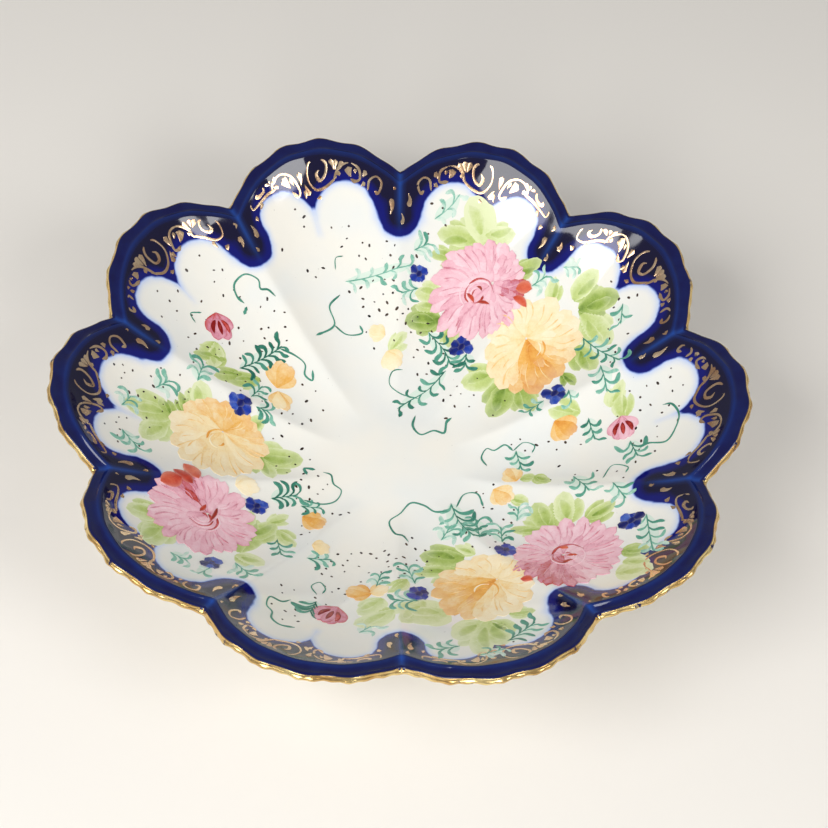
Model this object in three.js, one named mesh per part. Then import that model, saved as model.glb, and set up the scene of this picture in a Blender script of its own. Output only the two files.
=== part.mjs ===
// A ten-lobed porcelain serving bowl: a moulded shell with a ruffled lip, a foot ring luted under it,
// and a raised band of gilding run round the edge of the lip. Millimetres, +Z up. The origin is on the
// table under the middle of the bowl, and a notch between two lobes lies on +Y and on -Y.
import * as THREE from 'three';

// Driving dimensions of the whole bowl.
const LOBES = 10;
const TIP_RADIUS = 127;         // middle of the bowl to the outside of a lobe, gilding included
const NOTCH_RADIUS = 113.5;     // middle of the bowl to the outside of a notch, gilding included
const TIP_HEIGHT = 58.5;        // table to the lip at the middle of a lobe
const NOTCH_HEIGHT = 48.5;      // table to the lip in a notch
const FLOOR_HEIGHT = 9.5;       // table to the flat floor inside the bowl
const FLOOR_RADIUS = 22;
const LIP_WIDTH = 5;            // the flatter ledge that runs round inside the edge

// How the wall climbs from the floor: 1 would be a straight slope, 2 a parabola.
const CREST_CLIMB = 1.5;        // along the crest between two lobes
const HOLLOW_CLIMB = 1.95;      // along the middle of a lobe

// The wall.
const WALL = 3.4;
const WALL_AT_FOOT = 4.2;
const LIP_THICKNESS = 2.4;
const LIP_ROUNDING = 0.6;

// The foot ring and the seat it is luted to, and the clay joint's width.
const JOINT = 0.3;
const FOOT_HEIGHT = 5.6;
const SEAT_HEIGHT = FOOT_HEIGHT + JOINT;
const SEAT_RADIUS = 47;
const FOOT_OUTER_RADIUS = 46;
const FOOT_INNER_RADIUS = 38;
const FOOT_FACE_OUTER_RADIUS = 43.6;
const FOOT_FACE_INNER_RADIUS = 40.2;
const FOOT_CHAMFER = 0.8;

// The band of gilding round the edge.
const GILDING_THICKNESS = 0.8;
const GILDING_TOP = 0.2;        // below the top of the lip
const GILDING_BOTTOM = 2.1;
const EDGE_INSET = JOINT + GILDING_THICKNESS;

// How finely the bowl is turned.
const STEPS_PER_LOBE = 12;
const FOOT_STEPS = 72;
const INSIDE_CLIMBS = [1, 0.9, 0.8, 0.7, 0.6, 0.5, 0.4, 0.3, 0.2, 0.1, 0];
const OUTSIDE_CLIMBS = [0.34, 0.42, 0.5, 0.6, 0.7, 0.8, 0.9, 1];

const PORCELAIN = { color: 0xe6e4dc, roughness: 0.12, metalness: 0 };
const BISCUIT = { color: 0xd9d3c6, roughness: 0.5, metalness: 0 };
const GOLD = { color: 0xc79a52, roughness: 0.3, metalness: 1 };

// 0 in a notch and 1 at the middle of a lobe.
function fullness(turn) {
  const across = 2 * THREE.MathUtils.euclideanModulo(turn * LOBES / (2 * Math.PI), 1) - 1;
  return 1 - across * across;
}

// A point of the inside face. climb goes from 0 at the floor's edge to 1 where the lip starts.
function insidePoint(full, climb) {
  const notchReach = NOTCH_RADIUS - EDGE_INSET - LIP_WIDTH - FLOOR_RADIUS;
  const reach = notchReach + (TIP_RADIUS - NOTCH_RADIUS) * full;
  const crest = (NOTCH_HEIGHT - FLOOR_HEIGHT) * climb ** CREST_CLIMB;
  const hollow = (TIP_HEIGHT - FLOOR_HEIGHT) * climb ** HOLLOW_CLIMB;
  return new THREE.Vector2(
    FLOOR_RADIUS + reach * climb,
    FLOOR_HEIGHT + THREE.MathUtils.lerp(crest, hollow, full),
  );
}

// A point of the outside face, one wall thickness square to the average slope at that climb.
function outsidePoint(full, climb) {
  const averageFull = 2 / 3;
  const step = 0.01;
  const slope = insidePoint(averageFull, climb).sub(insidePoint(averageFull, climb - step)).normalize();
  const wall = THREE.MathUtils.lerp(WALL_AT_FOOT, WALL, climb);
  return insidePoint(full, climb).add(new THREE.Vector2(slope.y, -slope.x).multiplyScalar(wall));
}

// The lip's edge, before the gilding: out from the inside face by out, and down from its top by down.
function edgePoint(full, out, down) {
  const start = insidePoint(full, 1);
  return new THREE.Vector2(start.x + LIP_WIDTH + out, start.y - down);
}

// Turns a profile round Z, where each of the profile's points may change with the fullness of the lobe.
function turnProfile(points, steps) {
  const flat = points.map((_, index) => new THREE.Vector2(index, 0));
  const geometry = new THREE.LatheGeometry(flat, steps);
  const position = geometry.attributes.position;
  for (let index = 0; index < position.count; index++) {
    const turn = (Math.floor(index / points.length) % steps) * 2 * Math.PI / steps;
    const point = points[index % points.length](fullness(turn));
    position.setXYZ(index, point.x * Math.sin(turn), -point.x * Math.cos(turn), point.y);
  }
  return geometry;
}

function fixed(radius, height) {
  return () => new THREE.Vector2(radius, height);
}

// From the middle of the underside, out and up the outside, over the lip and down the inside.
function shellGeometry() {
  return turnProfile([
    fixed(0, SEAT_HEIGHT),
    fixed(FOOT_INNER_RADIUS, SEAT_HEIGHT),
    fixed(SEAT_RADIUS, SEAT_HEIGHT),
    ...OUTSIDE_CLIMBS.map((climb) => (full) => outsidePoint(full, climb)),
    (full) => edgePoint(full, -LIP_ROUNDING, LIP_THICKNESS),
    (full) => edgePoint(full, 0, LIP_THICKNESS - LIP_ROUNDING),
    (full) => edgePoint(full, 0, LIP_ROUNDING),
    (full) => edgePoint(full, -LIP_ROUNDING, 0),
    ...INSIDE_CLIMBS.map((climb) => (full) => insidePoint(full, climb)),
    fixed(0, FLOOR_HEIGHT),
  ], STEPS_PER_LOBE * LOBES);
}

function footRingGeometry() {
  return turnProfile([
    fixed(FOOT_FACE_INNER_RADIUS, 0),
    fixed(FOOT_FACE_OUTER_RADIUS, 0),
    fixed(FOOT_FACE_OUTER_RADIUS + FOOT_CHAMFER, FOOT_CHAMFER),
    fixed(FOOT_OUTER_RADIUS, FOOT_HEIGHT),
    fixed(FOOT_INNER_RADIUS, FOOT_HEIGHT),
    fixed(FOOT_FACE_INNER_RADIUS - FOOT_CHAMFER, FOOT_CHAMFER),
    fixed(FOOT_FACE_INNER_RADIUS, 0),
  ], FOOT_STEPS);
}

// The band stands off the lip's edge by the joint, and is rounded to its outside.
function gildingGeometry() {
  const middle = (GILDING_TOP + GILDING_BOTTOM) / 2;
  const shoulder = JOINT + GILDING_THICKNESS * 0.7;
  return turnProfile([
    (full) => edgePoint(full, JOINT, GILDING_BOTTOM),
    (full) => edgePoint(full, shoulder, GILDING_BOTTOM),
    (full) => edgePoint(full, JOINT + GILDING_THICKNESS, middle),
    (full) => edgePoint(full, shoulder, GILDING_TOP),
    (full) => edgePoint(full, JOINT, GILDING_TOP),
    (full) => edgePoint(full, JOINT, GILDING_BOTTOM),
  ], STEPS_PER_LOBE * LOBES);
}

function piece(name, geometry, finish) {
  const mesh = new THREE.Mesh(geometry, new THREE.MeshStandardMaterial(finish));
  mesh.name = name;
  return mesh;
}

const bowl = new THREE.Group();
bowl.add(piece('bowl_shell', shellGeometry(), PORCELAIN));
bowl.add(piece('foot_ring', footRingGeometry(), BISCUIT));
bowl.add(piece('rim_gilding', gildingGeometry(), GOLD));

export default bowl;
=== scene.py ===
import math
import random

import bmesh
import bpy
from mathutils import Matrix, Vector


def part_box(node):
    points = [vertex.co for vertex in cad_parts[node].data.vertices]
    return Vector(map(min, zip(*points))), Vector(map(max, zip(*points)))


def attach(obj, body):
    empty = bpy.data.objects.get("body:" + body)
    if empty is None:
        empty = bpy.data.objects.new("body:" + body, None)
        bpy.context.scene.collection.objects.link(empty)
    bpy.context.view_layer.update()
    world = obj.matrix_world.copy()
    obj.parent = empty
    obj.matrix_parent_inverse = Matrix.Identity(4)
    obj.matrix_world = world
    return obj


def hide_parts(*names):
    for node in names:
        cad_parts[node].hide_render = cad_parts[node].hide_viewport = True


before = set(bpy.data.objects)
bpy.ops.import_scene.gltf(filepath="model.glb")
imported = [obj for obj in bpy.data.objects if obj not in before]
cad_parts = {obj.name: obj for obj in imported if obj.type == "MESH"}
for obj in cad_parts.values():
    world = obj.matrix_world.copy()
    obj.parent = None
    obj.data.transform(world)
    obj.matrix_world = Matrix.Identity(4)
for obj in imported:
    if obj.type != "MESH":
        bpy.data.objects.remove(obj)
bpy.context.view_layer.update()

MM = 0.001

# ---------------------------------------------------------------- the bowl's dimensions, in millimetres
LOBES = 10
LOBE_TURN = 2 * math.pi / LOBES
TIP_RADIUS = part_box("rim_gilding")[1].x / MM
TIP_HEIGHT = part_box("bowl_shell")[1].z / MM
NOTCH_RADIUS = 113.5
NOTCH_HEIGHT = 48.5
FLOOR_HEIGHT = 9.5
FLOOR_RADIUS = 22
LIP_WIDTH = 5
EDGE_INSET = 1.1
CREST_CLIMB = 1.5
HOLLOW_CLIMB = 1.9
STEEP_TOP = 2.0           # the last steep rise of a hollow, under the lip
WALL = 3.4
WALL_AT_FOOT = 4.2
LIP_THICKNESS = 2.4
SEAT_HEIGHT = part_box("bowl_shell")[0].z / MM
SEAT_RADIUS = 47
SEAT_CLIMB = 0.27         # how far up the wall the outside leaves the seat
SEAT_SETTLED = 0.42       # and where it has its own full curve
SEAT_FLARE = 50           # how fast it widens in between

RUFFLES = 5               # waves in the lip of one lobe
RUFFLE_REACH = 0.5
RUFFLE_LIFT = 0.4
WALL_RUFFLE = 0.5         # the share of it that is already there at the top of the wall
LIP_BEAD = 0.3            # the moulded line where the ledge meets the wall
LEDGE_RISE = 1.5          # how much higher the ledge's outer edge is than its inner one


def mix(a, b, share):
    return a + (b - a) * share


def clamp(value, low=0.0, high=1.0):
    return max(low, min(high, value))


def ease(value, low, high):
    share = clamp((value - low) / (high - low))
    return share * share * (3 - 2 * share)


def across_lobe(turn):
    """-1 in the notch before a lobe, 0 at its middle, 1 in the next. turn runs from +Y towards +X."""
    return 2 * ((turn / LOBE_TURN) % 1.0) - 1


def fullness(turn, climb=1.0):
    """0 in a notch, 1 at the middle of a lobe; the crest between lobes is rounded over near the floor."""
    across = across_lobe(turn)
    sharp = 1 - across * across
    rounding = mix(0.24, 0.045, clamp(climb * 1.3))
    return math.sqrt(sharp * sharp + rounding * rounding) * (1 - rounding * 0.4)


def notch_reach():
    return NOTCH_RADIUS - EDGE_INSET - LIP_WIDTH - FLOOR_RADIUS


def inside_point(full, climb):
    """Radius and height of the inside face, from 0 at the floor's edge to 1 where the lip starts."""
    crest = (NOTCH_HEIGHT - LEDGE_RISE - FLOOR_HEIGHT) * climb ** CREST_CLIMB
    hollow = (TIP_HEIGHT - LEDGE_RISE - STEEP_TOP - FLOOR_HEIGHT) * climb ** HOLLOW_CLIMB
    hollow += STEEP_TOP * climb ** 10
    radius = FLOOR_RADIUS + (notch_reach() + (TIP_RADIUS - NOTCH_RADIUS) * full) * climb
    return radius, FLOOR_HEIGHT + mix(crest, hollow, full)


def ruffle(turn, phase):
    across = across_lobe(turn)
    fade = 1 - across ** 6
    return fade * math.cos(math.pi * RUFFLES * (across + 1) + phase)


def top_wave(turn, climb):
    """The ruffles of the lip, already starting in the last of the wall."""
    return ruffle(turn, 0.9) * RUFFLE_LIFT * WALL_RUFFLE * ease(climb, 0.9, 1)


def inside_height(x, y):
    """Height of the inside face above a point of the plan."""
    turn = math.atan2(x, y)
    radius = math.hypot(x, y)
    climb = clamp((radius - FLOOR_RADIUS) / notch_reach())
    for _ in range(3):
        full = fullness(turn, climb)
        climb = clamp((radius - FLOOR_RADIUS) / (notch_reach() + (TIP_RADIUS - NOTCH_RADIUS) * full))
    return inside_point(fullness(turn, climb), climb)[1] + top_wave(turn, climb)


def on_inside(x, y, lift):
    """A point of the plan laid on the inside face and lifted off it, in metres."""
    step = 0.4
    height = inside_height(x, y)
    slope_x = (inside_height(x + step, y) - height) / step
    slope_y = (inside_height(x, y + step) - height) / step
    up = Vector((-slope_x, -slope_y, 1)).normalized()
    return (Vector((x, y, height)) + up * lift) * MM


def outside_point(full, climb):
    radius, height = inside_point(full, climb)
    low = inside_point(2 / 3, climb - 0.01)
    high = inside_point(2 / 3, climb)
    slope = Vector((high[0] - low[0], high[1] - low[1])).normalized()
    wall = mix(WALL_AT_FOOT, WALL, climb)
    return radius + slope.y * wall, height - slope.x * wall


def lip_point(turn, out, down):
    """A point of the ruffled lip: out from where the wall ends, and down from its top face."""
    radius, height = inside_point(fullness(turn), 1)
    share = clamp(out / (LIP_WIDTH + EDGE_INSET))
    wave = ruffle(turn, 0.0) * share
    lift = LEDGE_RISE * share + ruffle(turn, 0.9) * mix(WALL_RUFFLE, 1, share) * RUFFLE_LIFT
    return radius + out + wave * RUFFLE_REACH, height - down + lift


# ---------------------------------------------------------------- the cobalt border's inner edge
# The white panel of a lobe ends in two round scoops that meet at a tooth, and a finger of cobalt runs in
# along each crest. Distances are in millimetres in the plan, positive inside the cobalt.
SCOOP_RADIUS = 12.2
SCOOP_SIDE = 11.5
SCOOP_OUT = 98.0
FINGER_HALF_WIDTH = 8.2
FINGER_START = 98.6
TOOTH_SHIFT = [1.5, 0.5, -1.0, 1.0, 2.0, -1.5, 0.5, -2.0, -2.5, -2.0]
FINGER_LENGTH = [0.5, -0.5, 1.0, 1.5, -1.5, -2.0, 0.0, 0.5, -0.5, 0.0]


def soft_least(a, b, softness):
    blend = clamp(0.5 + 0.5 * (b - a) / softness)
    return mix(b, a, blend) - softness * blend * (1 - blend)


def cobalt_depth(x, y):
    turn = math.atan2(x, y) % (2 * math.pi)
    lobe = int(turn / LOBE_TURN) % LOBES
    middle = (lobe + 0.5) * LOBE_TURN
    side = x * math.cos(middle) - y * math.sin(middle)
    out = x * math.sin(middle) + y * math.cos(middle)
    shift = TOOTH_SHIFT[lobe]
    left = math.hypot(side + SCOOP_SIDE - shift, out - SCOOP_OUT) - SCOOP_RADIUS
    right = math.hypot(side - SCOOP_SIDE - shift, out - SCOOP_OUT) - SCOOP_RADIUS
    panel = soft_least(soft_least(left, right, 1.0), out - SCOOP_OUT + 2.0, 3.0)
    crest_number = round(turn / LOBE_TURN)
    crest = crest_number * LOBE_TURN
    beside = abs(x * math.cos(crest) - y * math.sin(crest))
    along = x * math.sin(crest) + y * math.cos(crest)
    inward = FINGER_START - FINGER_LENGTH[crest_number % LOBES] - along
    finger = FINGER_HALF_WIDTH - math.hypot(beside, max(inward, 0.0))
    return -soft_least(-panel, -finger, 3.0)


# ---------------------------------------------------------------- shaders
def new_material(name):
    material = bpy.data.materials.new(name)
    material.use_nodes = True
    return material, material.node_tree, material.node_tree.nodes["Principled BSDF"]


def node(tree, kind, **settings):
    made = tree.nodes.new(kind)
    for key, value in settings.items():
        setattr(made, key, value)
    return made


def attribute(tree, name):
    return node(tree, "ShaderNodeAttribute", attribute_name=name).outputs["Fac"]


def noise(tree, scale, detail=3.0, roughness=0.5):
    """Noise in the bowl's own coordinates; scale is in features per metre."""
    made = node(tree, "ShaderNodeTexNoise")
    made.inputs["Scale"].default_value = scale
    made.inputs["Detail"].default_value = detail
    made.inputs["Roughness"].default_value = roughness
    tree.links.new(node(tree, "ShaderNodeTexCoord").outputs["Object"], made.inputs["Vector"])
    return made.outputs["Fac"]


def ramp(tree, source, stops):
    """stops are (position from 0 to 1, colour)."""
    made = node(tree, "ShaderNodeValToRGB")
    while len(made.color_ramp.elements) < len(stops):
        made.color_ramp.elements.new(0.5)
    for element, (position, colour) in zip(made.color_ramp.elements, stops):
        element.position = position
        element.color = (*colour, 1)
    tree.links.new(source, made.inputs["Fac"])
    return made.outputs["Color"]


def spread(tree, source, low, high, to_low=0.0, to_high=1.0):
    made = node(tree, "ShaderNodeMapRange")
    made.inputs["From Min"].default_value = low
    made.inputs["From Max"].default_value = high
    made.inputs["To Min"].default_value = to_low
    made.inputs["To Max"].default_value = to_high
    tree.links.new(source, made.inputs["Value"])
    return made.outputs["Result"]


def blend(tree, share, first, second):
    made = node(tree, "ShaderNodeMix", data_type="RGBA")
    sockets = (made.inputs["Factor"], made.inputs[6], made.inputs[7])
    for socket, value in zip(sockets, (share, first, second)):
        if isinstance(value, (int, float)):
            socket.default_value = value
        elif isinstance(value, tuple):
            socket.default_value = (*value, 1)
        else:
            tree.links.new(value, socket)
    return made.outputs[2]


def sums(tree, operation, first, second):
    made = node(tree, "ShaderNodeMath", operation=operation)
    for socket, value in zip(made.inputs, (first, second)):
        if isinstance(value, (int, float)):
            socket.default_value = value
        else:
            tree.links.new(value, socket)
    return made.outputs["Value"]


def bump(tree, shader, height, distance, strength=1.0):
    made = node(tree, "ShaderNodeBump")
    made.inputs["Distance"].default_value = distance
    made.inputs["Strength"].default_value = strength
    tree.links.new(height, made.inputs["Height"])
    tree.links.new(made.outputs["Normal"], shader.inputs["Normal"])


def rgb(red, green, blue):
    """A colour named in screen values, as the linear one that shaders take."""
    return tuple((channel / 255) ** 2.2 for channel in (red, green, blue))


WHITE_GLAZE = rgb(240, 236, 225)
COOL_GLAZE = rgb(232, 233, 228)
BLUSHED_GLAZE = rgb(190, 206, 240)
WASHED_COBALT = rgb(72, 98, 190)
BRIGHT_COBALT = rgb(9, 17, 104)
DEEP_COBALT = rgb(16, 11, 46)
LEDGE_COBALT = rgb(8, 12, 68)
# Lighter cobalt where the glaze thins over raised lines; it is also a painted highlight, the sheen laid
# along the crests and the lip's bead.
THIN_COBALT_AND_SHEEN = rgb(34, 76, 158)
KILN_SPECK = rgb(96, 84, 70)


def painted_glaze():
    """The shell's own finish: white porcelain under clear glaze, with the cobalt fired in under it, and a
    painted sheen of lighter blue along the crests and the lip's bead.
    """
    material, tree, shader = new_material("painted_porcelain_glaze")
    clouds = noise(tree, 38, 2)
    white = blend(tree, spread(tree, clouds, 0.35, 0.7), WHITE_GLAZE, COOL_GLAZE)
    specks = spread(tree, noise(tree, 900, 1), 0.80, 0.84)
    white = blend(tree, sums(tree, "MULTIPLY", specks, 0.5), white, KILN_SPECK)
    depth = attribute(tree, "cobalt_depth")
    wobble = spread(tree, noise(tree, 160, 2), 0.3, 0.7, -0.3, 0.3)
    depth = sums(tree, "ADD", depth, wobble)
    blush = spread(tree, depth, -3.6, -0.1)
    blush = sums(tree, "POWER", blush, 2.6)
    body = blend(tree, blush, white, BLUSHED_GLAZE)
    cobalt = ramp(tree, spread(tree, depth, 0.0, 12.0), [
        (0.0, WASHED_COBALT), (0.05, BRIGHT_COBALT), (0.16, BRIGHT_COBALT), (0.34, DEEP_COBALT),
        (1.0, DEEP_COBALT)])
    ledge = attribute(tree, "ledge")
    streaks = spread(tree, noise(tree, 150, 3), 0.35, 0.65)
    ledge_colour = blend(tree, sums(tree, "MULTIPLY", streaks, 0.07), LEDGE_COBALT, THIN_COBALT_AND_SHEEN)
    cobalt = blend(tree, ledge, cobalt, ledge_colour)
    # Painted highlight: lighter blue along the crests and the lip's bead, partly where the cobalt thins
    # over them and partly the sheen that they catch.
    cobalt = blend(tree, attribute(tree, "thin_glaze_and_sheen"), cobalt, THIN_COBALT_AND_SHEEN)
    covered = spread(tree, depth, -0.25, 0.35)
    colour = blend(tree, covered, body, cobalt)
    tree.links.new(colour, shader.inputs["Base Color"])
    tree.links.new(spread(tree, noise(tree, 60, 3), 0.3, 0.7, 0.04, 0.10), shader.inputs["Roughness"])
    shader.inputs["IOR"].default_value = 1.55
    bump(tree, shader, noise(tree, 95, 2), 0.0004, 0.12)
    return material


# ---------------------------------------------------------------- pieces
def turned_body(name, profile, steps, marks=(), first=0):
    """Spins a row of stations into a disc, then moves each of its rings to its own station's place.

    Each station is a function from turn to (radius, height) in millimetres. marks are (attribute name,
    function of station number, turn, x, y). first is the first ring's size, 0 at a pole."""
    mesh_builder = bmesh.new()
    row = [mesh_builder.verts.new((number + first, 0, 0)) for number in range(len(profile))]
    edges = [mesh_builder.edges.new(pair) for pair in zip(row, row[1:])]
    bmesh.ops.spin(mesh_builder, geom=row + edges, cent=(0, 0, 0), axis=(0, 0, -1), angle=2 * math.pi,
                   steps=steps, use_merge=True)
    layers = {mark: mesh_builder.verts.layers.float.new(mark) for mark, _ in marks}
    for vert in mesh_builder.verts:
        station = round(math.hypot(vert.co.x, vert.co.y)) - first
        turn = math.atan2(vert.co.x, vert.co.y)
        step = 2 * math.pi / steps
        turn = round(turn / step) * step
        radius, height = profile[station](turn)
        x, y = radius * math.sin(turn), radius * math.cos(turn)
        for mark, value in marks:
            vert[layers[mark]] = value(station, turn, x, y)
        vert.co = Vector((x, y, height)) * MM
    bmesh.ops.remove_doubles(mesh_builder, verts=mesh_builder.verts, dist=1e-6)
    return finish_mesh(name, mesh_builder)


def finish_mesh(name, mesh_builder, recalculate=True):
    if recalculate:
        bmesh.ops.recalc_face_normals(mesh_builder, faces=mesh_builder.faces)
    for face in mesh_builder.faces:
        face.smooth = True
    mesh = bpy.data.meshes.new(name)
    mesh_builder.to_mesh(mesh)
    mesh_builder.free()
    made = bpy.data.objects.new(name, mesh)
    bpy.context.scene.collection.objects.link(made)
    return made


def place(piece, material, slot, *replaced):
    piece.data.materials.append(material)
    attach(piece, "root")
    if replaced:
        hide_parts(*replaced)


def fixed(radius, height):
    return lambda turn: (radius, height)


# How finely the shell is turned, from the middle of the underside out, over the lip and in again.
UNDER_RINGS = 6
OUTSIDE_RINGS = 30
EDGE_RINGS = 8
LEDGE_RINGS = 8
INSIDE_RINGS = 62
FLOOR_RINGS = 6
SHELL_STEPS = 48 * LOBES

LIP_EDGE = LIP_WIDTH + 0.2        # where the lip is full, out from the top of the wall
EDGE_ROUNDING = 1.2               # how far its rounded edge bulges
EDGE_START = LIP_EDGE - 1.0
LEDGE_DIP = 0.5                   # how hollow the ledge is

# Depths in the cobalt, in millimetres, at the places that the border's outline doesn't reach.
BARE_WHITE = -12
DEEPEST = 20
LIP_DEPTH = 14
WASH_UNDER_LIP = 3.0              # the thin wash of cobalt below the lip, outside


def wall_top(turn):
    """How far the top of the wall is from the middle of the bowl."""
    return inside_point(fullness(turn), 1)[0]


def shell_stations():
    """The kind of each ring of the shell, and its station."""
    kinds = []
    stations = []

    def add(kind, station):
        kinds.append(kind)
        stations.append(station)

    for number in range(UNDER_RINGS + 1):
        add("under", fixed(SEAT_RADIUS * number / UNDER_RINGS, SEAT_HEIGHT))
    for number in range(1, OUTSIDE_RINGS + 1):
        climb = mix(SEAT_CLIMB, 1.0, number / OUTSIDE_RINGS)
        settle = ease(climb, SEAT_CLIMB, SEAT_SETTLED)

        def station(turn, climb=climb, settle=settle):
            radius, height = outside_point(fullness(turn, climb), climb)
            flared = SEAT_RADIUS + (climb - SEAT_CLIMB) * SEAT_FLARE
            return mix(flared, radius, settle), mix(SEAT_HEIGHT, height, settle)
        add("outside", station)
    add("outside", lambda turn: lip_point(turn, LIP_EDGE - 2.4, LIP_THICKNESS + 0.3))
    half = LIP_THICKNESS / 2
    for number in range(EDGE_RINGS + 1):
        angle = math.radians(-90 + 180 * number / EDGE_RINGS)

        def station(turn, angle=angle):
            out = EDGE_START + math.cos(angle) * EDGE_ROUNDING
            return lip_point(turn, out, half - math.sin(angle) * half)
        add("edge", station)
    for number in range(1, LEDGE_RINGS + 1):
        out = mix(EDGE_START, 0.0, number / LEDGE_RINGS)
        dip = LEDGE_DIP * math.sin(math.pi * number / LEDGE_RINGS)
        bead = LIP_BEAD * ease(number, 5, LEDGE_RINGS)
        add("ledge", lambda turn, out=out, down=dip - bead: lip_point(turn, out, down))
    for number in range(1, INSIDE_RINGS + 1):
        climb = 1 - number / INSIDE_RINGS
        bead = LIP_BEAD * math.exp(-((number / 1.6) ** 2))

        def station(turn, climb=climb, bead=bead):
            radius, height = inside_point(fullness(turn, climb), climb)
            return radius, height + bead + top_wave(turn, climb)
        add("inside", station)
    for number in range(FLOOR_RINGS - 1, -1, -1):
        add("inside", fixed(FLOOR_RADIUS * number / FLOOR_RINGS, FLOOR_HEIGHT))
    return kinds, stations


def bowl_shell():
    kinds, stations = shell_stations()

    def depth(station, turn, x, y):
        kind = kinds[station]
        if kind == "inside":
            return clamp(cobalt_depth(x, y), BARE_WHITE, DEEPEST)
        if kind == "under":
            return BARE_WHITE
        if kind == "outside":
            return clamp(math.hypot(x, y) - (wall_top(turn) - WASH_UNDER_LIP), BARE_WHITE, DEEPEST)
        return LIP_DEPTH

    def ledge(station, turn, x, y):
        """1 on the ledge and the lip's edge, fading out over the last of the wall inside."""
        if kinds[station] in ("ledge", "edge"):
            return 1.0
        if kinds[station] == "outside":
            return 0.6
        fade = 1.6
        return clamp((math.hypot(x, y) - (wall_top(turn) - fade)) / fade)

    def thin_glaze_and_sheen_mask(station, turn, x, y):
        """Where the glaze thins over a raised line, the crests and the lip's bead, and where a painted
        sheen of lighter blue stands in for the highlight they catch.
        """
        if kinds[station] not in ("ledge", "inside"):
            return 0.0
        radius = math.hypot(x, y)
        beside = abs(math.sin((turn / LOBE_TURN - round(turn / LOBE_TURN)) * LOBE_TURN)) * radius
        crest = math.exp(-(beside / 1.1) ** 2) * ease(radius, 88, 104)
        bead = math.exp(-(((radius - wall_top(turn)) / 0.8) ** 2))
        return clamp(crest * 0.6 + bead * 0.18)

    shell = turned_body("bowl_shell_glazed", stations, SHELL_STEPS,
                        (("cobalt_depth", depth), ("ledge", ledge), ("thin_glaze_and_sheen", thin_glaze_and_sheen_mask)))
    place(shell, painted_glaze(), "white_glaze", "bowl_shell")


# ---------------------------------------------------------------- brushwork
# Every painted or gilded shape is a stroke: a small grid bent along a way, laid on the inside face and
# left slightly proud, domed across like fired enamel. Its vertices remember where they are on it.
BACKING = 0.4             # how far a stroke reaches back into the glaze
FINEST = 0.04             # the width that a stroke keeps at its very tips, so that they don't close up
RING_LIFT = 0.035         # how much higher each ring of a flower's petals lies than the one before


def smooth_way(points):
    """A smooth line through a few places: a function from 0..1 to (place, heading), and its length."""
    knots = [Vector(point) for point in points]
    knots = [2 * knots[0] - knots[1]] + knots + [2 * knots[-1] - knots[-2]]
    spans = [(knots[i + 1] - knots[i]).length for i in range(1, len(knots) - 2)]
    total = sum(spans)

    def at(share):
        reach = clamp(share) * total
        number = 0
        while number < len(spans) - 1 and reach > spans[number]:
            reach -= spans[number]
            number += 1
        t = reach / spans[number]
        a, b, c, d = knots[number:number + 4]
        place_at = 0.5 * (2 * b + (c - a) * t + (2 * a - 5 * b + 4 * c - d) * t * t
                          + (3 * b - a - 3 * c + d) * t ** 3)
        heading = 0.5 * ((c - a) + 2 * (2 * a - 5 * b + 4 * c - d) * t
                         + 3 * (3 * b - a - 3 * c + d) * t * t)
        return place_at, heading.normalized()
    return at, total


def petal_width(width):
    """Narrow at the base, full near a round tip."""
    return lambda along: width * min(1.0, along * 1.5 + 0.08) ** 0.9 * (1.002 - along ** 7) ** 0.5


def blob_width(width):
    """A loaded brush pressed down: blunt at both ends."""
    return lambda along: width * min(1.0, along * 2.6 + 0.1) ** 0.7 * (1.002 - along ** 4) ** 0.5


def leaf_width(width):
    return lambda along: width * (math.sin(math.pi * clamp(along) ** 0.9) + 0.001) ** 0.7


def frond_width(width):
    """Thin where it leaves the stem, pressed down towards a rounded tip."""
    return lambda along: width * (0.35 + 0.65 * ease(along, 0.15, 0.75)) * (1.002 - along ** 6) ** 0.5


def comma_width(width):
    """A loaded brush set down at its head and drawn away to a point."""
    return lambda along: width * min(1.0, (along * 6) ** 0.5) * (1.002 - along) ** 0.75


def line_width(width):
    """A fine line, pressed harder here and there, with a small swelling at its far end."""
    def at(along):
        start = min(1.0, (along * 14 + 0.02) ** 0.5)
        end = min(1.0, ((1.002 - along) * 20) ** 0.5)
        pressed = 1 + 0.22 * math.sin(along * 11) + 0.8 * math.exp(-((along - 0.93) / 0.05) ** 2)
        return width * (start * pressed * end)
    return at


class Paint:
    """One piece of brushwork while it is being painted."""

    def __init__(self, name, finish, slot):
        self.name = name
        self.finish = finish
        self.slot = slot
        self.mesh = bmesh.new()
        self.layers = {key: self.mesh.verts.layers.float.new(key) for key in ("along", "side", "tone")}

    def stroke(self, points, width, lift, tone=0.5, across=2, dome=0.12, fineness=1.0):
        way, length = smooth_way(points)
        steps = max(4, round(length / fineness))
        made = bmesh.ops.create_grid(self.mesh, x_segments=steps, y_segments=across, size=0.5)
        for vert in made["verts"]:
            along, side = vert.co.x + 0.5, vert.co.y * 2
            spot, heading = way(along)
            spot = spot + Vector((-heading.y, heading.x)) * side * max(width(along), FINEST) / 2
            vert.co = on_inside(spot.x, spot.y, lift + dome * (1 - side * side))
            vert[self.layers["along"]] = along
            vert[self.layers["side"]] = side
            vert[self.layers["tone"]] = tone

    def finish_piece(self):
        for edge in self.mesh.edges:
            edge.smooth = not edge.is_boundary
        piece = finish_mesh(self.name, self.mesh, False)
        body = piece.modifiers.new("body", "SOLIDIFY")
        body.thickness = BACKING * MM
        body.offset = -1
        place(piece, self.finish, self.slot)


def polar(centre, angle, reach):
    return (centre[0] + reach * math.sin(angle), centre[1] + reach * math.cos(angle))


def bowed(base, tip, bow):
    """A way from base to tip that leans aside by bow, as a share of its length."""
    middle_x = (base[0] + tip[0]) / 2 + bow * (tip[1] - base[1])
    middle_y = (base[1] + tip[1]) / 2 - bow * (tip[0] - base[0])
    return [base, (middle_x, middle_y), tip]


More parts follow.
